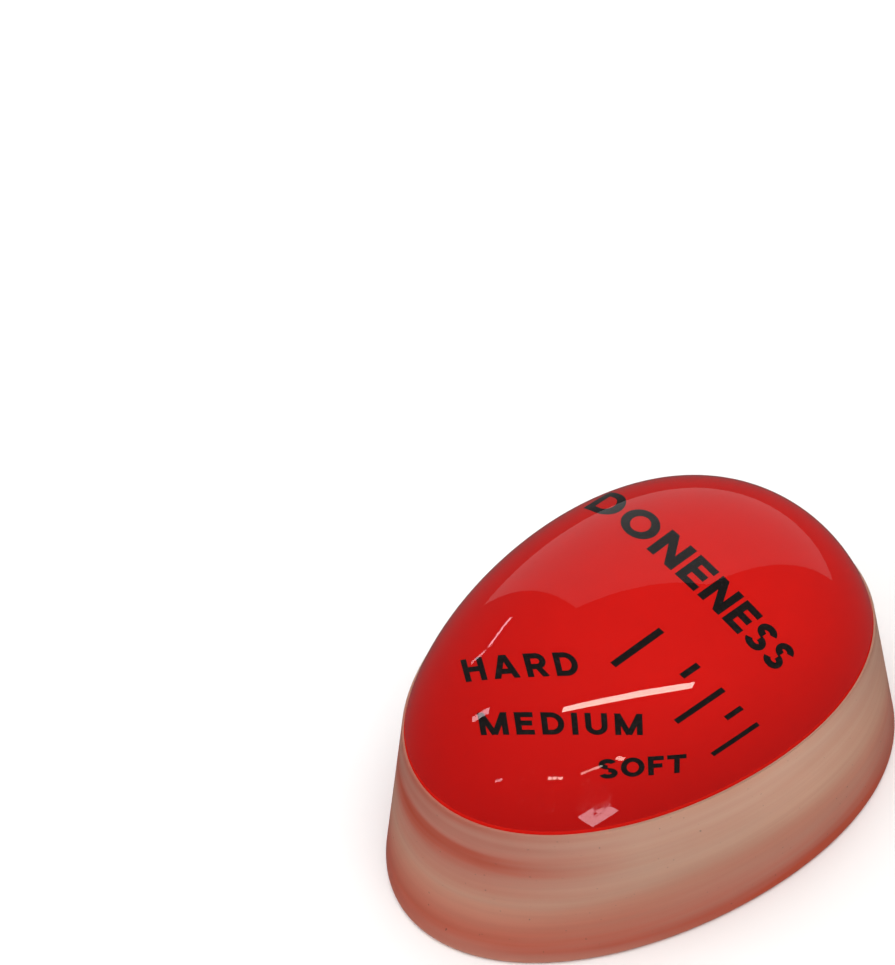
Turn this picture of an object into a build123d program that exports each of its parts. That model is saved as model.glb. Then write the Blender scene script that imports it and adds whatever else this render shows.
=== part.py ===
from build123d import *
import math
import os

# Colour-changing egg timer: a half egg of clear resin, cast in layers around a red heat-sensitive disc with a
# printed scale. Millimetres. The origin is the centre of the flat underside, +Z is up, +Y points to the egg's blunt
# end, and +X is to the right of a reader of the print.

# ---- Driving dimensions ----
BASE_LENGTH = 60.0
BASE_WIDTH = 42.5
BASE_TAPER = 0.099  # how much the blunt end of the underside outweighs the narrow end
BASE_FULLNESS = 0.055
FOOT_ROUND = ((0, 0.4), (0.12, 0.12), (0.4, 0))  # height and inset along the rounded lower edge

EGG_LENGTH = 55.1  # the dome is part of a full egg of this length and width
EGG_WIDTH = 40.46
EGG_TAPER = 0.088
EGG_FULLNESS = 0.068
EGG_AXIS_HEIGHT = 11.37  # the egg's long axis lies this far above the underside
EGG_SHIFT = 0.53  # and its middle lies this far towards the blunt end

DISC_BOTTOM = 16.6
DISC_THICKNESS = 0.4
LEDGE = 0.2  # the base stands out this far around the disc
LEDGE_BREAK = 0.1

INK_THICKNESS = 0.1
OUTLINE_POINTS = 25  # points along each half outline

TITLE = "DONENESS"
TITLE_LEFT, TITLE_BASELINE = -12.0, 8.15
TITLE_CAP, TITLE_GAP = 3.1, 0.4
# Each scale word: text, left end of the baseline (x, y), angle, cap height, gap between letters
HARD = ("HARD", -6.55, -13.1, 53, 2.35, 0.62)
MEDIUM = ("MEDIUM", -2.0, -16.45, 49, 2.4, 0.63)
SOFT = ("SOFT", 8.55, -12.4, 52, 2.45, 0.32)

MARK_WIDTH = 0.62
MARK_TOP = 3.2
LONG_MARK, SHORT_MARK = 5.8, 2.0
MARK_X = {"hard": 0.1, "hard_medium": 4.57, "medium": 8.0, "medium_soft": 10.8, "soft": 13.6}
SHORT_MARKS = ("hard_medium", "medium_soft")

STROKE = 0.22  # pen width of the letters, as a part of the cap height
HALF = STROKE / 2

DISC_TOP = DISC_BOTTOM + DISC_THICKNESS


# ---- The egg's outline ----
def fullness_at(t, taper, fullness):
    """Width of an egg at t along its length, from -1 at the narrow end to 1 at the blunt end."""
    return math.sqrt(max(0.0, 1 - t * t)) * (1 + taper * t + fullness * t * t)


def widest(taper, fullness):
    return max(fullness_at(i / 500, taper, fullness) for i in range(-500, 501))


def egg_points(length, width, taper, fullness):
    """Right half of an egg outline, from the narrow end to the blunt end."""
    scale = width / 2 / widest(taper, fullness)
    points = []
    for i in range(OUTLINE_POINTS):
        t = math.sin(math.pi * (i / (OUTLINE_POINTS - 1) - 0.5))
        points.append((scale * fullness_at(t, taper, fullness), length / 2 * t))
    return points


def egg_radius(y):
    scale = EGG_WIDTH / 2 / widest(EGG_TAPER, EGG_FULLNESS)
    return scale * fullness_at(y / (EGG_LENGTH / 2), EGG_TAPER, EGG_FULLNESS)


def egg_reach(height, end):
    """Where a level cut this far above the egg's axis reaches its end, -1 for the narrow and 1 for the blunt one."""
    inside, outside = 0.0, EGG_LENGTH / 2
    for _ in range(50):
        middle = (inside + outside) / 2
        if egg_radius(end * middle) > height:
            inside = middle
        else:
            outside = middle
    return end * inside


def level_points(level, margin):
    """Right half of the egg's outline at a level, grown by a margin."""
    height = level - EGG_AXIS_HEIGHT
    narrow, blunt = egg_reach(height, -1), egg_reach(height, 1)
    centre, half = (narrow + blunt) / 2, (blunt - narrow) / 2
    points = []
    for i in range(OUTLINE_POINTS):
        s = math.sin(math.pi * (i / (OUTLINE_POINTS - 1) - 0.5))
        x = math.sqrt(max(0.0, egg_radius(centre + half * s) ** 2 - height**2))
        grown = (half + margin) / half
        points.append((x * (1 + margin / (EGG_WIDTH / 2)), EGG_SHIFT + centre + half * s * grown))
    points[0], points[-1] = (0.0, points[0][1]), (0.0, points[-1][1])
    return points


def closed_outline(points):
    """A face from the right half of an outline and its mirror image, as one smooth closed curve."""
    left_half = [(-x, y) for x, y in reversed(points[1:-1])]
    with BuildSketch() as face:
        with BuildLine():
            Spline(*points, *left_half, periodic=True)
        make_face()
    return face.sketch


def full_egg():
    """The whole egg, turned about its long axis."""
    with BuildPart() as egg:
        with BuildSketch(Plane.XY.offset(EGG_AXIS_HEIGHT)):
            with BuildLine():
                half = [(x, y + EGG_SHIFT) for x, y in egg_points(EGG_LENGTH, EGG_WIDTH, EGG_TAPER, EGG_FULLNESS)]
                half[0], half[-1] = (0.0, half[0][1]), (0.0, half[-1][1])
                outline = Spline(*half, tangents=[(1, 0), (-1, 0)])
                Line(outline @ 1, outline @ 0)
            make_face()
        revolve(axis=Axis((0, 0, EGG_AXIS_HEIGHT), (0, 1, 0)))
    return egg.part


# ---- Letters, drawn with a square-ended pen in a box one cap height tall ----
def bar(x0, y0, x1, y1):
    with BuildLine() as path:
        Line((x0, y0), (x1, y1))
    trace(path.line, line_width=STROKE)


def bow(x, y, x_radius, y_radius, start, turn):
    with BuildLine() as path:
        EllipticalCenterArc((x, y), x_radius, y_radius, start, arc_size=turn)
    trace(path.line, line_width=STROKE)


def stem(x):
    bar(x, 0, x, 1)


def draw_a():
    bar(0.095, -0.02, 0.45, 1.04)
    bar(0.805, -0.02, 0.45, 1.04)
    bar(0.22, 0.3, 0.68, 0.3)


def draw_d():
    stem(HALF)
    bar(0, HALF, 0.38, HALF)
    bar(0, 1 - HALF, 0.38, 1 - HALF)
    bow(0.36, 0.5, 0.44 - HALF, 0.5 - HALF, -90, 180)


def draw_e():
    stem(HALF)
    for y, reach in ((HALF, 0.66), (0.52, 0.6), (1 - HALF, 0.65)):
        bar(0, y, reach, y)


def draw_f():
    stem(HALF)
    for y, reach in ((0.5, 0.56), (1 - HALF, 0.62)):
        bar(0, y, reach, y)


def draw_h():
    stem(HALF)
    stem(0.8 - HALF)
    bar(0.1, 0.52, 0.7, 0.52)


def draw_i():
    stem(HALF)


def draw_m():
    stem(HALF)
    stem(1.02 - HALF)
    bar(0.08, 1.04, 0.51, 0.02)
    bar(0.94, 1.04, 0.51, 0.02)


def draw_n():
    stem(HALF)
    stem(0.8 - HALF)
    bar(0.09, 1.02, 0.71, -0.02)


def draw_o():
    bow(0.45, 0.5, 0.45 - HALF, 0.5 - HALF, 0, 180)
    bow(0.45, 0.5, 0.45 - HALF, 0.5 - HALF, 180, 180)


def draw_r():
    stem(HALF)
    bar(0, 1 - HALF, 0.42, 1 - HALF)
    bar(0, 0.44, 0.42, 0.44)
    bow(0.41, 0.667, 0.32 - HALF, 0.3335 - HALF, -90, 180)
    bar(0.4, 0.46, 0.66, -0.02)


def draw_s():
    bow(0.36, 0.735, 0.33 - HALF, 0.265 - HALF, 15, 255)
    bow(0.36, 0.265, 0.35 - HALF, 0.272 - HALF, 90, -255)


def draw_t():
    stem(0.38)
    bar(0, 1 - HALF, 0.76, 1 - HALF)


def draw_u():
    bar(HALF, 0.38, HALF, 1)
    bar(0.8 - HALF, 0.38, 0.8 - HALF, 1)
    bow(0.4, 0.4, 0.4 - HALF, 0.4 - HALF, 180, 180)


# Letter: its width in cap heights and how it is drawn
LETTERS = {
    "A": (0.9, draw_a),
    "D": (0.8, draw_d),
    "E": (0.66, draw_e),
    "F": (0.62, draw_f),
    "H": (0.8, draw_h),
    "I": (STROKE, draw_i),
    "M": (1.02, draw_m),
    "N": (0.8, draw_n),
    "O": (0.9, draw_o),
    "R": (0.75, draw_r),
    "S": (0.71, draw_s),
    "T": (0.76, draw_t),
    "U": (0.8, draw_u),
}


def letter(name):
    width, draw = LETTERS[name]
    with BuildSketch() as glyph:
        draw()
        with Locations((width / 2, 0.5)):
            Rectangle(width + STROKE, 1, mode=Mode.INTERSECT)
    return glyph.sketch


def print_plane(x, y, angle):
    """A plane on the disc's top with its X along the reading direction."""
    turn = math.radians(angle)
    return Plane(origin=(x, y, DISC_TOP), x_dir=(math.cos(turn), math.sin(turn), 0), z_dir=(0, 0, 1))


def printed_word(text, x, y, angle, cap, gap):
    """One printed word, each letter a solid of its own, let into the disc."""
    with BuildPart() as word:
        with BuildSketch(print_plane(x, y, angle)):
            along = 0.0
            for name in text:
                with Locations((along, 0)):
                    add(scale(letter(name), by=cap, mode=Mode.PRIVATE))
                along += LETTERS[name][0] * cap + gap
        extrude(amount=-INK_THICKNESS)
    return word


def printed_mark(x, length):
    """One upright stroke of the scale, let into the disc."""
    with BuildPart() as mark:
        with BuildSketch(print_plane(x, MARK_TOP - length / 2, 0)):
            Rectangle(MARK_WIDTH, length)
        extrude(amount=-INK_THICKNESS)
    return mark


ink = {
    "title_word": printed_word(TITLE, TITLE_LEFT, TITLE_BASELINE, 0, TITLE_CAP, TITLE_GAP),
    "hard_word": printed_word(*HARD),
    "medium_word": printed_word(*MEDIUM),
    "soft_word": printed_word(*SOFT),
}
for name, mark_x in MARK_X.items():
    ink[f"{name}_mark"] = printed_mark(mark_x, SHORT_MARK if name in SHORT_MARKS else LONG_MARK)

# ---- The three layers of the casting ----
egg = full_egg()

with BuildPart() as clear_dome:
    add(egg)
    split(bisect_by=Plane.XY.offset(DISC_TOP), keep=Keep.TOP)

with BuildPart() as thermochromic_disc:
    add(egg)
    split(bisect_by=Plane.XY.offset(DISC_TOP), keep=Keep.BOTTOM)
    split(bisect_by=Plane.XY.offset(DISC_BOTTOM), keep=Keep.TOP)
    for piece in ink.values():
        add(piece.part, mode=Mode.SUBTRACT)

with BuildPart() as clear_base:
    for height, inset in FOOT_ROUND:
        length, width = BASE_LENGTH - 2 * inset, BASE_WIDTH - 2 * inset
        with BuildSketch(Plane.XY.offset(height)):
            add(closed_outline(egg_points(length, width, BASE_TAPER, BASE_FULLNESS)))
    for height, margin in ((DISC_BOTTOM - LEDGE_BREAK, LEDGE), (DISC_BOTTOM, LEDGE - LEDGE_BREAK)):
        with BuildSketch(Plane.XY.offset(height)):
            add(closed_outline(level_points(DISC_BOTTOM, margin)))
    loft(ruled=True)

# ---- One file for each piece ----
os.makedirs("parts", exist_ok=True)
pieces = {
    "clear_dome": clear_dome,
    "thermochromic_disc": thermochromic_disc,
    "clear_base": clear_base,
    **ink,
}
for name, piece in pieces.items():
    piece.part.label = name
    export_step(piece.part, f"parts/{name}.step")
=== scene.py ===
"""Colour-changing egg timer: clear resin cast around a red heat-sensitive disc with a printed scale."""

import functools
import math

import bmesh
import bpy
from mathutils import Matrix, Vector


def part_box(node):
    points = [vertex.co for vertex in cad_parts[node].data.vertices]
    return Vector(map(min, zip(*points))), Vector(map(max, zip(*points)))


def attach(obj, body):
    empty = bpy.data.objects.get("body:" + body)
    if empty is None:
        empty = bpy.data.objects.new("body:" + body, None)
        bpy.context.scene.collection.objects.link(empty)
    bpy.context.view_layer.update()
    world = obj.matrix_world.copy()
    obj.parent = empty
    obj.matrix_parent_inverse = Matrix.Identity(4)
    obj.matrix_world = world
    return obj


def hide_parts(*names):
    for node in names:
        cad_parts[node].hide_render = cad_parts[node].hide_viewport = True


bl_info = {
    "name": "Colour-changing egg timer",
    "version": (1, 0, 0),
    "blender": (4, 5, 0),
    "location": "3D View > Sidebar > Egg Timer",
    "description": "Builds a resin egg timer piece by piece around its CAD frame, with a small photo studio",
    "category": "Object",
}

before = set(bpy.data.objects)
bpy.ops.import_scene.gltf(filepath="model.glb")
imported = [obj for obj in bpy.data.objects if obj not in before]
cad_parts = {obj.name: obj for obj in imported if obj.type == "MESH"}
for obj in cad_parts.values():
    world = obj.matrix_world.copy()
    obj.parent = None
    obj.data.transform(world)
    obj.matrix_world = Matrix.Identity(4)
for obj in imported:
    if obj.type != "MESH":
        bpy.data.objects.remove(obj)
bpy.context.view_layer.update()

MM = 0.001
BODY = "root"
SAME_PLACE = 1e-7  # points nearer than this, in metres, are one point
SMOOTH_ANGLE = math.radians(35)
OUTLINE_COUNT = 256  # points round each outline
RING_COUNT = 160  # rings along the dome
INK_NODES = sorted(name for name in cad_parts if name.endswith(("_word", "_mark")))


# ---------------------------------------------------------------- settings
class EggTimerShape(bpy.types.PropertyGroup):
    """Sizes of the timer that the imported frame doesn't say by itself."""

    egg_length: bpy.props.FloatProperty(
        name="Egg length", description="Length of the full egg that the dome is part of",
        default=55.1 * MM, subtype="DISTANCE", unit="LENGTH", precision=5)
    egg_width: bpy.props.FloatProperty(
        name="Egg width", description="Width of that full egg",
        default=40.46 * MM, subtype="DISTANCE", unit="LENGTH", precision=5)
    egg_taper: bpy.props.FloatProperty(
        name="Egg taper", description="How much the blunt end outweighs the narrow end", default=0.088)
    egg_fullness: bpy.props.FloatProperty(
        name="Egg fullness", description="How full both ends are", default=0.068)
    axis_height: bpy.props.FloatProperty(
        name="Axis height", description="Height of the egg's long axis over the underside",
        default=11.37 * MM, subtype="DISTANCE", unit="LENGTH", precision=5)
    egg_shift: bpy.props.FloatProperty(
        name="Egg shift", description="How far the egg's middle lies towards the blunt end",
        default=0.53 * MM, subtype="DISTANCE", unit="LENGTH", precision=5)
    base_taper: bpy.props.FloatProperty(
        name="Base taper", description="Taper of the underside's outline", default=0.099)
    base_fullness: bpy.props.FloatProperty(
        name="Base fullness", description="Fullness of the underside's outline", default=0.055)
    ledge: bpy.props.FloatProperty(
        name="Ledge", description="How far the base stands out around the disc",
        default=0.2 * MM, subtype="DISTANCE", unit="LENGTH", precision=5)
    edge_round: bpy.props.FloatProperty(
        name="Edge rounding", description="Radius of the rounded edge of the underside",
        default=0.6 * MM, subtype="DISTANCE", unit="LENGTH", precision=5)
    overlap: bpy.props.FloatProperty(
        name="Bonding overlap", description="How far each layer sinks into the next, so no air gap shows",
        default=0.02 * MM, subtype="DISTANCE", unit="LENGTH", precision=6)


class EggTimerFinish(bpy.types.PropertyGroup):
    """Colours and finishes."""

    heat_red: bpy.props.FloatVectorProperty(
        name="Heat red", description="Colour of the cold heat-sensitive layer",
        subtype="COLOR", size=3, min=0, max=1, default=(0.49, 0.006, 0.004))
    ink_black: bpy.props.FloatVectorProperty(
        name="Ink black", description="Colour of the printing ink",
        subtype="COLOR", size=3, min=0, max=1, default=(0.006, 0.005, 0.005))
    resin: bpy.props.FloatVectorProperty(
        name="Resin", description="Tint of the polished resin",
        subtype="COLOR", size=3, min=0, max=1, default=(1.0, 0.985, 0.97))
    ground_resin: bpy.props.FloatVectorProperty(
        name="Ground resin", description="Tint of the satin wall",
        subtype="COLOR", size=3, min=0, max=1, default=(1.0, 0.59, 0.4))
    # Painted red glow: this colour paints the red layer's light onto the wall near its foot and at its
    # narrow end, and as reddish shade at its top. At half strength it also darkens the grinding strokes.
    painted_glow_and_stroke_red: bpy.props.FloatVectorProperty(
        name="Glow", description="Tint of the satin wall near the foot, where the red layer shows through",
        subtype="COLOR", size=3, min=0, max=1, default=(0.95, 0.13, 0.05))
    streak: bpy.props.FloatVectorProperty(
        name="Streak", description="Pale level streaks left by grinding",
        subtype="COLOR", size=3, min=0, max=1, default=(1.0, 0.86, 0.68))
    # Painted shade: this deeper red towards the layer's rim stands in for less light reaching the rim
    # through the dome. At 0.8 it also colours the darker mottle.
    painted_rim_shade_and_mottle_red: bpy.props.FloatVectorProperty(
        name="Rim red", description="Deeper red at the rim of the heat-sensitive layer",
        subtype="COLOR", size=3, min=0, max=1, default=(0.39, 0.0035, 0.0025))
    # Painted light: a brighter red on the layer's upright side faces, which lie in shade at the seam.
    painted_lit_edge_red: bpy.props.FloatVectorProperty(
        name="Edge red", description="Brighter red on that layer's thin edge, where it shows at the seam",
        subtype="COLOR", size=3, min=0, max=1, default=(0.56, 0.012, 0.007))
    clearness: bpy.props.FloatProperty(
        name="Clearness", description="How much of the light the ground wall lets through", default=0.62,
        min=0, max=1)
    refraction: bpy.props.FloatProperty(
        name="Refraction", description="Refractive index of the cast resin", default=1.52)
    satin: bpy.props.FloatProperty(
        name="Satin roughness", description="Roughness of the ground wall", default=0.42, min=0, max=1)


class EggTimerStudio(bpy.types.PropertyGroup):
    """Camera and lights."""

    azimuth: bpy.props.FloatProperty(
        name="Azimuth", description="Camera's direction round the timer, 0 looks along +Y",
        default=math.radians(49.6), subtype="ANGLE", unit="ROTATION")
    elevation: bpy.props.FloatProperty(
        name="Elevation", description="Camera's height over the horizon",
        default=math.radians(47.02), subtype="ANGLE", unit="ROTATION")
    roll: bpy.props.FloatProperty(
        name="Roll", description="Turn of the camera about its own line of sight",
        default=math.radians(-2.99), subtype="ANGLE", unit="ROTATION")
    distance: bpy.props.FloatProperty(
        name="Distance", description="Camera's distance from the timer's middle",
        default=488.4 * MM, subtype="DISTANCE", unit="LENGTH")
    lens: bpy.props.FloatProperty(
        name="Lens", description="Focal length in millimetres", default=176.7)
    aim_right: bpy.props.FloatProperty(
        name="Aim right", description="Aim point beside the timer's middle, to the camera's right",
        default=-19.4 * MM, subtype="DISTANCE", unit="LENGTH")
    aim_up: bpy.props.FloatProperty(
        name="Aim up", description="Aim point above the timer's middle, as the camera sees it",
        default=22.3 * MM, subtype="DISTANCE", unit="LENGTH")
    key_watts: bpy.props.FloatProperty(
        name="Key light", description="Power of the soft key light", default=2.3)
    ceiling: bpy.props.FloatProperty(
        name="Ceiling", description="Even soft light from straight above", default=1.8)
    panel_watts: bpy.props.FloatProperty(
        name="Back panel", description="Power of the back panel", default=1.2)
    fill_watts: bpy.props.FloatProperty(
        name="Front fill", description="Power of the low front fill", default=4.4)


def shape():
    return bpy.context.scene.egg_timer_shape


def finishes():
    return bpy.context.scene.egg_timer_finish


def studio():
    return bpy.context.scene.egg_timer_studio


# ---------------------------------------------------------------- egg formulas
def swell(t, taper, fullness):
    """Half width of an egg of unit size at t, from -1 at the narrow end to 1 at the blunt end."""
    return math.sqrt(max(0.0, 1 - t * t)) * (1 + taper * t + fullness * t * t)


@functools.lru_cache
def widest(taper, fullness):
    return max(swell(i / 500, taper, fullness) for i in range(-500, 501))


def egg_radius(y):
    s = shape()
    scale = s.egg_width / 2 / widest(s.egg_taper, s.egg_fullness)
    return scale * swell(y / (s.egg_length / 2), s.egg_taper, s.egg_fullness)


def egg_reach(height, end):
    """Where a cut this far above the egg's axis reaches its narrow end, -1, or its blunt end, 1."""
    inside, outside = 0.0, shape().egg_length / 2
    for _ in range(50):
        middle = (inside + outside) / 2
        if egg_radius(end * middle) > height:
            inside = middle
        else:
            outside = middle
    return end * inside


def level_outline(level, count, margin=0.0):
    """Closed outline of the egg at a level, grown by a margin, counter-clockwise from the narrow end."""
    s = shape()
    height = level - s.axis_height
    narrow, blunt = egg_reach(height, -1), egg_reach(height, 1)
    centre, half = (narrow + blunt) / 2, (blunt - narrow) / 2
    points = []
    for i in range(count):
        turn = 2 * math.pi * i / count - math.pi / 2
        across = math.sqrt(max(0.0, egg_radius(centre + half * math.sin(turn)) ** 2 - height**2))
        across *= 1 + margin / (s.egg_width / 2)
        side = 1 if math.cos(turn) >= 0 else -1
        points.append((side * across, s.egg_shift + centre + (half + margin) * math.sin(turn)))
    return points


def foot_outline(length, width, count):
    """Closed outline of the underside, counter-clockwise from the narrow end."""
    s = shape()
    scale = width / 2 / widest(s.base_taper, s.base_fullness)
    points = []
    for i in range(count):
        turn = 2 * math.pi * i / count - math.pi / 2
        t = math.sin(turn)
        side = 1 if math.cos(turn) >= 0 else -1
        points.append((side * scale * swell(t, s.base_taper, s.base_fullness), length / 2 * t))
    return points


# ---------------------------------------------------------------- modelling helpers
def deselect_all():
    if bpy.context.object and bpy.context.object.mode != "OBJECT":
        bpy.ops.object.mode_set(mode="OBJECT")
    bpy.ops.object.select_all(action="DESELECT")


def named(name):
    """Names the newest primitive and its mesh."""
    piece = bpy.context.object
    piece.name = name
    piece.data.name = name
    return piece


def edit(piece):
    deselect_all()
    bpy.context.view_layer.objects.active = piece
    piece.select_set(True)
    bpy.ops.object.mode_set(mode="EDIT")
    bpy.ops.mesh.select_mode(type="FACE")


def select_edges(piece, wanted):
    """Selects, in edit mode, the edges for which wanted() is true."""
    mesh = bmesh.from_edit_mesh(piece.data)
    for group in (mesh.faces, mesh.edges, mesh.verts):
        for element in group:
            element.select = False
    for edge in mesh.edges:
        if wanted(edge):
            edge.select = True
    mesh.select_flush_mode()
    bmesh.update_edit_mesh(piece.data)


def shape_rings(piece, outlines):
    """Moves a cylinder's rings of vertices onto outlines, given by level."""
    levels = sorted(outlines)
    for vertex in piece.data.vertices:
        level = min(levels, key=lambda z: abs(z - vertex.co.z))
        turn = math.atan2(vertex.co.y, vertex.co.x) + math.pi / 2
        index = round(turn / (2 * math.pi) * OUTLINE_COUNT) % OUTLINE_COUNT
        vertex.co.x, vertex.co.y = outlines[level][index]
        vertex.co.z = level
    piece.data.update()


def done(piece, material, stands_for):
    """Closes a piece: smooth shading, material, the body it rides on and the CAD node it stands for."""
    deselect_all()
    bpy.context.view_layer.objects.active = piece
    piece.select_set(True)
    bpy.ops.object.transform_apply(location=True, rotation=True, scale=True)
    bpy.ops.object.shade_smooth_by_angle(angle=SMOOTH_ANGLE)
    piece.data.materials.clear()
    piece.data.materials.append(material)
    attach(piece, BODY)
    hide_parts(stands_for)
    return piece


# ---------------------------------------------------------------- material helpers
# Worn spots of the dome: the middle, the fully worn radius and the radius where the wear ends.
CRUMPLED_SPOT = ((13.3 * MM, -17.0 * MM, 20.3 * MM), 0.6 * MM, 2.3 * MM)
SCRATCHED_SPOT = ((8.6 * MM, -21.0 * MM, 20.6 * MM), 0.5 * MM, 3.2 * MM)


class Nodes:
    """Builds one node material, left to right."""

    def __init__(self, name):
        self.material = bpy.data.materials.new(name)
        self.material.use_nodes = True
        self.tree = self.material.node_tree
        self.shader = self.tree.nodes["Principled BSDF"]
        self.coordinates = self.tree.nodes.new("ShaderNodeTexCoord")

    def add(self, kind, inputs=None, **settings):
        node = self.tree.nodes.new(kind)
        for key, value in settings.items():
            setattr(node, key, value)
        for key, value in (inputs or {}).items():
            if isinstance(value, bpy.types.NodeSocket):
                self.tree.links.new(value, node.inputs[key])
            else:
                node.inputs[key].default_value = value
        return node

    def set(self, **values):
        """Sets the shader's own sockets, named with underscores for spaces."""
        for key, value in values.items():
            socket = self.shader.inputs[key.replace("_", " ")]
            if isinstance(value, bpy.types.NodeSocket):
                self.tree.links.new(value, socket)
            else:
                socket.default_value = value

    def noise(self, scale, stretch=(1, 1, 1), detail=4.0, roughness=0.55):
        """Noise on object coordinates, scale in features per metre."""
        place = self.coordinates.outputs["Object"]
        mapped = self.add("ShaderNodeMapping", {"Vector": place, "Scale": stretch})
        return self.add(
            "ShaderNodeTexNoise",
            {"Vector": mapped.outputs["Vector"], "Scale": scale, "Detail": detail, "Roughness": roughness},
        ).outputs["Fac"]

    def ramp(self, factor, low, high, value_low=0.0, value_high=1.0):
        """Maps low..high of a factor to two values, clamped."""
        return self.add(
            "ShaderNodeMapRange",
            {"Value": factor, "From Min": low, "From Max": high, "To Min": value_low, "To Max": value_high},
        ).outputs["Result"]

    def mix(self, factor, first, second):
        node = self.add("ShaderNodeMix", {"Factor": factor}, data_type="RGBA")
        for socket, value in ((node.inputs[6], first), (node.inputs[7], second)):
            if isinstance(value, bpy.types.NodeSocket):
                self.tree.links.new(value, socket)
            else:
                socket.default_value = value
        return node.outputs[2]

    def near(self, place, inside, outside):
        """1 within the inner distance of a place, falling to 0 at the outer one."""
        gap = self.add(
            "ShaderNodeVectorMath", {0: self.coordinates.outputs["Object"], 1: place}, operation="DISTANCE")
        return self.ramp(gap.outputs["Value"], inside, outside, 1.0, 0.0)

    def product(self, first, second):
        return self.add("ShaderNodeMath", {0: first, 1: second}, operation="MULTIPLY").outputs["Value"]

    def largest(self, first, second):
        return self.add("ShaderNodeMath", {0: first, 1: second}, operation="MAXIMUM").outputs["Value"]

    def magnitude(self, value):
        return self.add("ShaderNodeMath", {0: value}, operation="ABSOLUTE").outputs["Value"]

    def bump(self, height, strength, distance):
        return self.add(
            "ShaderNodeBump", {"Height": height, "Strength": strength, "Distance": distance}
        ).outputs["Normal"]


def rgba(colour, gain=1.0):
    return (*(channel * gain for channel in colour), 1.0)


def polished_resin():
    """Clear polished casting resin, with faint hair scratches and one scuffed spot low at the front."""
    f = finishes()
    m = Nodes("clear_casting_resin")
    hairs = m.noise(420, stretch=(1.0, 1.0, 0.05), detail=2.0)
    crumples = m.noise(1700, detail=4.0, roughness=0.7)
    scratches = m.noise(1300, stretch=(1.0, 1.0, 0.12), detail=3.0)
    crumpled_spot = m.near(*CRUMPLED_SPOT)
    scratched_spot = m.near(*SCRATCHED_SPOT)
    wear = m.largest(
        m.product(m.ramp(crumples, 0.3, 0.7, -0.2, 0.2), crumpled_spot),
        m.product(m.ramp(scratches, 0.56, 0.66, 0.0, 0.4), scratched_spot))
    m.set(
        Base_Color=rgba(f.resin),
        Transmission_Weight=1.0,
        IOR=f.refraction,
        Roughness=m.ramp(hairs, 0.62, 0.8, 0.0, 0.05),
        Normal=m.bump(wear, 1.0, 0.3 * MM),
    )
    return m.material


def satin_resin():
    """The same resin, finely ground in level strokes, with a painted red glow and painted reddish shade in
    its tint where the red layer shows through, on top of the red light that really passes through the resin.
    """
    f = finishes()
    m = Nodes("ground_casting_resin")
    strokes = m.noise(900, stretch=(0.02, 0.02, 1.0), detail=5.0, roughness=0.6)
    bands = m.noise(230, stretch=(0.06, 0.06, 1.0), detail=3.0)
    clouds = m.noise(90, stretch=(0.5, 0.5, 2.0), detail=3.0)
    specks = m.noise(2600, detail=1.0)
    place = m.add("ShaderNodeSeparateXYZ", {"Vector": m.coordinates.outputs["Object"]})
    height, along = place.outputs["Z"], place.outputs["Y"]
    # Painted red glow, low on the wall and at its narrow end. It stands in for the light the red layer sends
    # through the resin, on top of the light that really passes.
    painted_foot_glow = m.ramp(height, 1.5 * MM, 8.5 * MM, 1.0, 0.0)
    narrow_end = m.ramp(along, -26 * MM, -14 * MM, 1.0, 0.0)
    painted_narrow_glow = m.product(m.ramp(height, 7 * MM, 12 * MM), narrow_end)
    tint = m.mix(m.largest(painted_foot_glow, painted_narrow_glow), rgba(f.ground_resin), rgba(f.painted_glow_and_stroke_red))
    # Painted reddish shade over the top of the wall, just under the disc.
    tint = m.mix(m.ramp(height, 8 * MM, 15 * MM, 0.0, 0.34), tint, rgba(f.painted_glow_and_stroke_red, 0.25))
    tint = m.mix(m.ramp(bands, 0.42, 0.66, 0.0, 0.4), tint, rgba(f.streak))
    tint = m.mix(m.ramp(strokes, 0.38, 0.62, 0.16, 0.0), tint, rgba(f.painted_glow_and_stroke_red, 0.5))
    tint = m.mix(m.ramp(specks, 0.76, 0.8, 0.0, 0.5), tint, rgba(f.ink_black))
    m.set(
        Base_Color=tint,
        Transmission_Weight=f.clearness,
        IOR=f.refraction,
        Roughness=m.ramp(clouds, 0.3, 0.7, f.satin - 0.06, f.satin + 0.06),
        Normal=m.bump(strokes, 0.35, 0.04 * MM),
    )
    return m.material


def clear_foot():
    """The flat underside: clear resin with a light satin."""
    f = finishes()
    m = Nodes("clear_foot")
    swirls = m.noise(350, detail=3.0)
    m.set(
        Base_Color=rgba(f.resin),
        Transmission_Weight=1.0,
        IOR=f.refraction,
        Roughness=m.ramp(swirls, 0.4, 0.7, 0.04, 0.1),
    )
    return m.material


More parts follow.
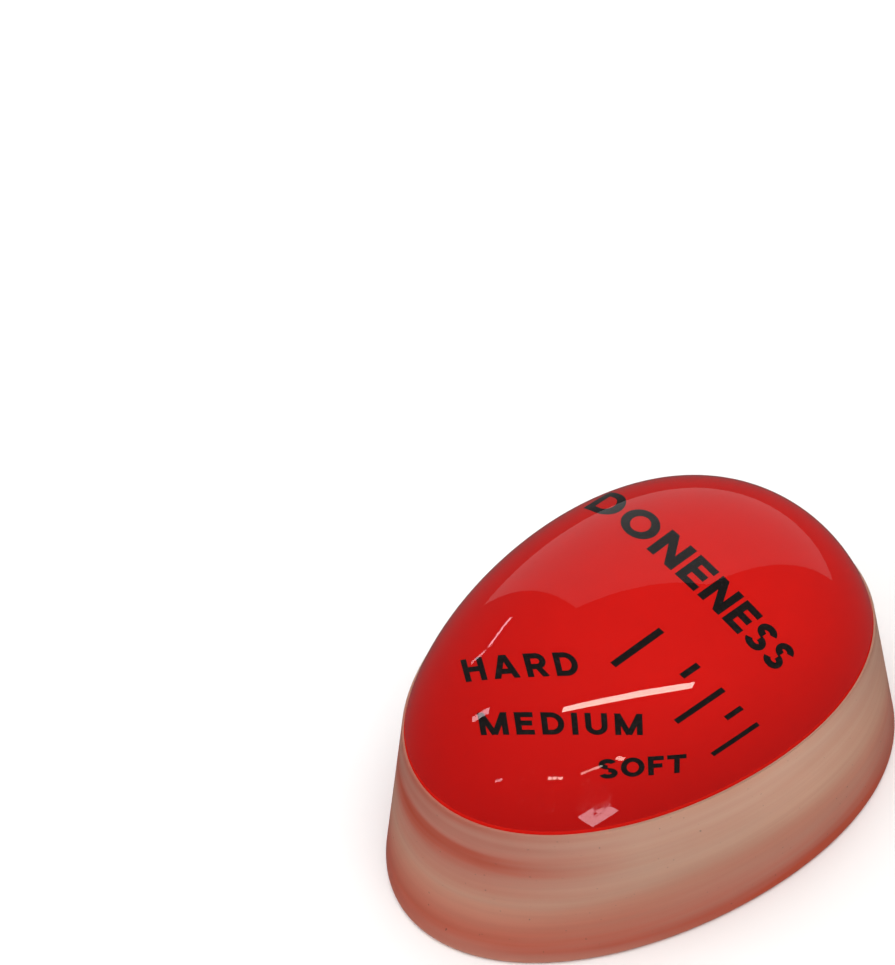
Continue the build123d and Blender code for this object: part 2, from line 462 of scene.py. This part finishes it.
def heat_layer():
    """Opaque red heat-sensitive layer, a little uneven as it dried, with painted shade darkening it towards
    its rim and a painted lighter red on its thin edge.
    """
    f = finishes()
    m = Nodes("heat_layer")
    mottle = m.noise(160, detail=3.0)
    place = m.add(
        "ShaderNodeMapping", {"Vector": m.coordinates.outputs["Object"], "Location": (-1 * MM, -6 * MM, 0),
                              "Scale": (1.25, 0.85, 0)}).outputs["Vector"]
    # Painted shade: the red darkens with distance from the layer's middle towards its rim.
    reach = m.add("ShaderNodeVectorMath", {0: place}, operation="LENGTH").outputs["Value"]
    red = m.mix(m.ramp(reach, 8 * MM, 25 * MM), rgba(f.heat_red), rgba(f.painted_rim_shade_and_mottle_red))
    # Painted light: faces that stand upright, the layer's thin edge, get the brighter red instead of the
    # top's red.
    upward = m.add("ShaderNodeSeparateXYZ", {"Vector": m.add("ShaderNodeNewGeometry").outputs["Normal"]})
    red = m.mix(m.ramp(m.magnitude(upward.outputs["Z"]), 0.2, 0.8), rgba(f.painted_lit_edge_red), red)
    m.set(
        Base_Color=m.mix(m.ramp(mottle, 0.3, 0.7, 0.12, 0.0), red, rgba(f.painted_rim_shade_and_mottle_red, 0.8)),
        Roughness=0.6,
        Specular_IOR_Level=0.0,
    )
    return m.material


def printing_ink():
    """Flat black ink, thinner in places."""
    f = finishes()
    m = Nodes("printing_ink")
    thin = m.noise(2500, detail=2.0)
    m.set(
        Base_Color=m.mix(m.ramp(thin, 0.55, 0.8), rgba(f.ink_black), rgba(f.ink_black, 2.5)),
        Roughness=0.6,
        Specular_IOR_Level=0.0,
    )
    return m.material


# ---------------------------------------------------------------- pieces


class EGGTIMER_OT_dome(bpy.types.Operator):
    """Polished clear dome, the upper part of an egg of revolution"""

    bl_idname = "eggtimer.dome"
    bl_label = "Clear dome"

    def execute(self, context):
        s = shape()
        low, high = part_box("clear_dome")
        deselect_all()
        bpy.ops.mesh.primitive_uv_sphere_add(
            segments=OUTLINE_COUNT, ring_count=RING_COUNT, radius=1, rotation=(math.radians(90), 0, 0))
        dome = named("polished_dome")
        bpy.ops.object.transform_apply(location=True, rotation=True, scale=True)
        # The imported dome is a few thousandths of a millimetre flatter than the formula, and this one
        # stays within it.
        flatten = (high.z - s.axis_height) / (s.egg_width / 2)
        for vertex in dome.data.vertices:
            t = max(-1.0, min(1.0, vertex.co.y))
            round_radius = math.hypot(vertex.co.x, vertex.co.z)
            grow = egg_radius(t * s.egg_length / 2) / round_radius if round_radius > 1e-6 else 0
            vertex.co.x *= grow
            vertex.co.z = s.axis_height + vertex.co.z * grow * min(1.0, flatten)
            vertex.co.y = s.egg_shift + t * s.egg_length / 2
        edit(dome)
        bpy.ops.mesh.select_all(action="SELECT")
        bpy.ops.mesh.bisect(
            plane_co=(0, 0, low.z - 2 * s.overlap), plane_no=(0, 0, 1), clear_inner=True, use_fill=True,
            threshold=SAME_PLACE)
        bpy.ops.mesh.select_all(action="SELECT")
        bpy.ops.mesh.remove_doubles(threshold=SAME_PLACE)
        bpy.ops.mesh.normals_make_consistent(inside=False)
        bpy.ops.object.mode_set(mode="OBJECT")
        done(dome, polished_resin(), "clear_dome")
        dome.visible_shadow = False
        return {"FINISHED"}


class EGGTIMER_OT_disc(bpy.types.Operator):
    """Thin red heat-sensitive disc across the whole section"""

    bl_idname = "eggtimer.disc"
    bl_label = "Heat-sensitive disc"

    def execute(self, context):
        s = shape()
        low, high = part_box("thermochromic_disc")
        bottom, top = low.z - s.overlap / 2, high.z - s.overlap
        deselect_all()
        bpy.ops.mesh.primitive_cylinder_add(
            vertices=OUTLINE_COUNT, radius=1, depth=top - bottom, location=(0, 0, (top + bottom) / 2))
        disc = named("heat_disc")
        bpy.ops.object.transform_apply(location=True, rotation=True, scale=True)
        shape_rings(disc, {
            bottom: level_outline(bottom, OUTLINE_COUNT, -s.overlap),
            top: level_outline(top, OUTLINE_COUNT, -s.overlap),
        })
        done(disc, heat_layer(), "thermochromic_disc")
        return {"FINISHED"}


class EGGTIMER_OT_base(bpy.types.Operator):
    """Clear base with a satin ground wall that flares out to the underside"""

    bl_idname = "eggtimer.base"
    bl_label = "Satin base"

    def execute(self, context):
        s = shape()
        low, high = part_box("clear_base")
        size = high - low
        deselect_all()
        bpy.ops.mesh.primitive_cylinder_add(
            vertices=OUTLINE_COUNT, radius=1, depth=size.z, location=(0, 0, size.z / 2))
        base = named("satin_base")
        bpy.ops.object.transform_apply(location=True, rotation=True, scale=True)
        shape_rings(base, {
            0.0: foot_outline(size.y, size.x, OUTLINE_COUNT),
            size.z: level_outline(size.z, OUTLINE_COUNT, s.ledge),
        })
        edit(base)
        select_edges(base, lambda edge: all(v.co.z < MM for v in edge.verts))
        bpy.ops.mesh.bevel(offset=s.edge_round, segments=6, profile=0.5, affect="EDGES")
        select_edges(base, lambda edge: edge.calc_length() < 2 * MM
                     and all(v.co.z > size.z - s.ledge / 4 for v in edge.verts))
        bpy.ops.mesh.bevel(offset=s.ledge * 0.6, segments=3, profile=0.5, affect="EDGES")
        bpy.ops.mesh.select_all(action="SELECT")
        bpy.ops.mesh.normals_make_consistent(inside=False)
        bpy.ops.object.mode_set(mode="OBJECT")
        done(base, satin_resin(), "clear_base")
        base.data.materials.append(clear_foot())
        for face in base.data.polygons:
            if face.normal.z < -0.99:
                face.material_index = 1
        return {"FINISHED"}


class EGGTIMER_OT_print(bpy.types.Operator):
    """Black printed words and scale marks, which keep their CAD shapes"""

    bl_idname = "eggtimer.print"
    bl_label = "Printed scale"

    def execute(self, context):
        ink = printing_ink()
        for name in INK_NODES:
            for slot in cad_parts[name].material_slots:
                slot.material = ink
        return {"FINISHED"}


# ---------------------------------------------------------------- studio
MIDDLE_HEIGHT = 11.72 * MM  # of the point that the camera's settings start from
FLOOR_SIZE = 6
FLOOR_GAP = 0.05 * MM
FLOOR_COLOUR = (0.93, 0.94, 0.95, 1)
DIM_BACKGROUND, SEEN_BACKGROUND = 0.1, 0.95
SENSOR_WIDTH = 36  # millimetres, as Blender counts it
CEILING_SPREAD = math.radians(100)
KEY_PLACE, KEY_SIZE = Vector((0.1, 0.05, 1.0)), (0.9, 0.9)
PANEL_AZIMUTH, PANEL_DISTANCE, PANEL_HEIGHT, PANEL_SIZE = -141.5, 0.5, 0.56, (0.95, 1.12)
FILL_AZIMUTH, FILL_ELEVATION, FILL_DISTANCE, FILL_SIZE = 8, 20, 0.9, (0.5, 2.0)
SOFT_AIM, SLIM_AIM = Vector((0, 0, 15 * MM)), Vector((0, 0, 20 * MM))


def direction(azimuth, elevation):
    """Unit vector towards an azimuth, 0 towards -Y and 90 towards +X, and an elevation, both in degrees."""
    a, e = math.radians(azimuth), math.radians(elevation)
    return Vector((math.sin(a) * math.cos(e), -math.cos(a) * math.cos(e), math.sin(e)))


def area_light(name, place, aim, along, size, watts, colour=(1, 1, 1), mirrored=True):
    """A soft rectangular light, its long side along a direction, which the camera itself doesn't see."""
    light = bpy.data.lights.new(name, "AREA")
    light.shape = "RECTANGLE"
    light.size, light.size_y = size
    light.energy = watts
    light.color = colour
    lamp = bpy.data.objects.new(name, light)
    away = (place - aim).normalized()
    side = (along - away * along.dot(away)).normalized()
    rise = away.cross(side)
    lamp.matrix_world = Matrix.Translation(place) @ Matrix((side, rise, away)).transposed().to_4x4()
    lamp.visible_camera = False
    lamp.visible_glossy = mirrored
    bpy.context.collection.objects.link(lamp)
    return lamp


def timer_middle():
    """The point that the camera's settings start from."""
    return Vector((0, shape().egg_shift, MIDDLE_HEIGHT))


def eye_place():
    """Where the camera stands."""
    s = studio()
    return timer_middle() + direction(math.degrees(s.azimuth), math.degrees(s.elevation)) * s.distance


def dome_spot(x, y):
    """The point of the dome over this place, in millimetres, and the way the dome faces there."""
    s = shape()
    across, along, step = x * MM, y * MM - s.egg_shift, 0.1 * MM
    radius = egg_radius(along)
    slope = (egg_radius(along + step) - egg_radius(along - step)) / (2 * step)
    rise = math.sqrt(radius**2 - across**2)
    facing = Vector((across, -radius * slope, rise)).normalized()
    return Vector((across, y * MM, s.axis_height + rise)), facing


def mirrored_place(spot, reach):
    """The place at this distance that the camera sees mirrored in a spot of the dome."""
    point, facing = dome_spot(*spot)
    return point + (point - eye_place()).normalized().reflect(facing) * reach


def tube_light(name, first_spot, last_spot, reach, width, brightness, colour):
    """A slim lamp that mirrors as a streak between two spots of the dome, as bright as given."""
    start, end = mirrored_place(first_spot, reach), mirrored_place(last_spot, reach)
    length = (end - start).length
    watts = brightness * math.pi * length * width
    return area_light(
        name, (start + end) / 2, SLIM_AIM, end - start, (length, width), watts, colour)


WARM, COOL = (1, 0.88, 0.76), (1, 0.9, 0.96)
# Each slim lamp: the two spots of the dome, in millimetres, between which its streak shows, then the lamp's
# distance and width in metres, its brightness and its colour.
STREAKS = {
    "long_tube": ((6.5, -14.5), (13, -3), 1.2, 0.055, 15, WARM),
    "far_tube_a": ((9, -19), (10, -18), 1.7, 0.05, 12, WARM),
    "far_tube_b": ((11, -16.5), (12, -14.5), 1.7, 0.04, 7, WARM),
    "far_tube_c": ((12.5, -13), (13, -12.5), 1.7, 0.05, 9, WARM),
    "far_tube_d": ((5, -22.5), (5.5, -22), 1.8, 0.05, 6, COOL),
    "side_lamp": ((-0.5, -20.5), (0.5, -19), 1.5, 0.08, 6, COOL),
    "low_window": ((13, -18), (14, -15.5), 1.0, 0.2, 5, COOL),
    "thin_tube_a": ((-5, -11), (-4.5, -14.5), 2.0, 0.05, 6, COOL),
    "thin_tube_b": ((-4.5, -15), (-5, -16.5), 2.3, 0.06, 4, COOL),
}


class EGGTIMER_OT_studio(bpy.types.Operator):
    """Pale floor, soft lights and the camera"""

    bl_idname = "eggtimer.studio"
    bl_label = "Studio"

    def execute(self, context):
        self.floor()
        self.lights()
        self.camera()
        return {"FINISHED"}

    def floor(self):
        deselect_all()
        # A hair of air under the timer keeps its underside mirroring from within, as on a real table.
        bpy.ops.mesh.primitive_plane_add(size=FLOOR_SIZE, location=(0, 0, -FLOOR_GAP))
        floor = named("studio_floor")
        floor.visible_glossy = False
        m = Nodes("pale_floor")
        m.set(Base_Color=FLOOR_COLOUR, Roughness=0.9, Specular_IOR_Level=0.1)
        floor.data.materials.append(m.material)
        world = bpy.data.worlds.new("studio")
        world.use_nodes = True
        background = world.node_tree.nodes["Background"]
        background.inputs["Color"].default_value = (1, 1, 1, 1)
        # Pale behind the floor's edge, but dim where the resin mirrors it, as in a room.
        seen = world.node_tree.nodes.new("ShaderNodeLightPath").outputs["Is Camera Ray"]
        level = world.node_tree.nodes.new("ShaderNodeMath")
        level.operation = "MULTIPLY_ADD"
        level.inputs[1].default_value = SEEN_BACKGROUND - DIM_BACKGROUND
        level.inputs[2].default_value = DIM_BACKGROUND
        world.node_tree.links.new(seen, level.inputs[0])
        world.node_tree.links.new(level.outputs["Value"], background.inputs["Strength"])
        bpy.context.scene.world = world
        bpy.context.scene.view_settings.view_transform = "Standard"

    def lights(self):
        s = studio()
        ceiling = bpy.data.lights.new("ceiling", "SUN")
        ceiling.energy, ceiling.angle = s.ceiling, CEILING_SPREAD
        lamp = bpy.data.objects.new("ceiling", ceiling)
        lamp.visible_glossy = False
        bpy.context.collection.objects.link(lamp)
        area_light(
            "key", KEY_PLACE, SOFT_AIM, Vector((1, 0, 0)), KEY_SIZE, s.key_watts, mirrored=False)
        back, panel_aim = direction(PANEL_AZIMUTH, 0), Vector((0, 0, PANEL_HEIGHT))
        area_light(
            "back_panel", back * PANEL_DISTANCE + panel_aim, panel_aim, Vector((-back.y, back.x, 0)),
            PANEL_SIZE, s.panel_watts)
        front = direction(FILL_AZIMUTH, FILL_ELEVATION)
        area_light(
            "front_fill", front * FILL_DISTANCE, SOFT_AIM, Vector((0, 0, 1)), FILL_SIZE, s.fill_watts,
            mirrored=False)
        for name, streak in STREAKS.items():
            tube_light(name, *streak)

    def camera(self):
        s = studio()
        middle = timer_middle()
        back = direction(math.degrees(s.azimuth), math.degrees(s.elevation))
        level = Vector((math.cos(s.azimuth), math.sin(s.azimuth), 0))
        rise = back.cross(level)
        right = level * math.cos(s.roll) + rise * math.sin(s.roll)
        up = rise * math.cos(s.roll) - level * math.sin(s.roll)
        aim = middle + right * s.aim_right + up * s.aim_up
        lens = bpy.data.cameras.new("camera")
        lens.lens = s.lens
        lens.sensor_width = SENSOR_WIDTH
        lens.clip_start, lens.clip_end = 0.01, 20
        camera = bpy.data.objects.new("camera", lens)
        depth = (eye_place() - aim).normalized()
        across = up.cross(depth).normalized()
        upward = depth.cross(across)
        turn = Matrix((across, upward, depth)).transposed().to_4x4()
        camera.matrix_world = Matrix.Translation(eye_place()) @ turn
        bpy.context.collection.objects.link(camera)
        bpy.context.scene.camera = camera


class EGGTIMER_PT_panel(bpy.types.Panel):
    """Buttons for the timer's pieces"""

    bl_label = "Egg Timer"
    bl_idname = "EGGTIMER_PT_panel"
    bl_space_type = "VIEW_3D"
    bl_region_type = "UI"
    bl_category = "Egg Timer"

    def draw(self, context):
        for step in STEPS:
            self.layout.operator(step.bl_idname)
        for group in (shape(), finishes(), studio()):
            box = self.layout.box()
            for key in group.bl_rna.properties.keys():
                if key not in ("rna_type", "name"):
                    box.prop(group, key)


STEPS = (EGGTIMER_OT_dome, EGGTIMER_OT_disc, EGGTIMER_OT_base, EGGTIMER_OT_print, EGGTIMER_OT_studio)
SETTINGS = {
    "egg_timer_shape": EggTimerShape,
    "egg_timer_finish": EggTimerFinish,
    "egg_timer_studio": EggTimerStudio,
}


def register():
    for cls in (*SETTINGS.values(), *STEPS, EGGTIMER_PT_panel):
        bpy.utils.register_class(cls)
    for key, cls in SETTINGS.items():
        setattr(bpy.types.Scene, key, bpy.props.PointerProperty(type=cls))


def unregister():
    for key in SETTINGS:
        delattr(bpy.types.Scene, key)
    for cls in reversed((*SETTINGS.values(), *STEPS, EGGTIMER_PT_panel)):
        bpy.utils.unregister_class(cls)


def main():
    register()
    bpy.ops.eggtimer.dome()
    bpy.ops.eggtimer.disc()
    bpy.ops.eggtimer.base()
    bpy.ops.eggtimer.print()
    bpy.ops.eggtimer.studio()


if __name__ == "__main__":
    main()
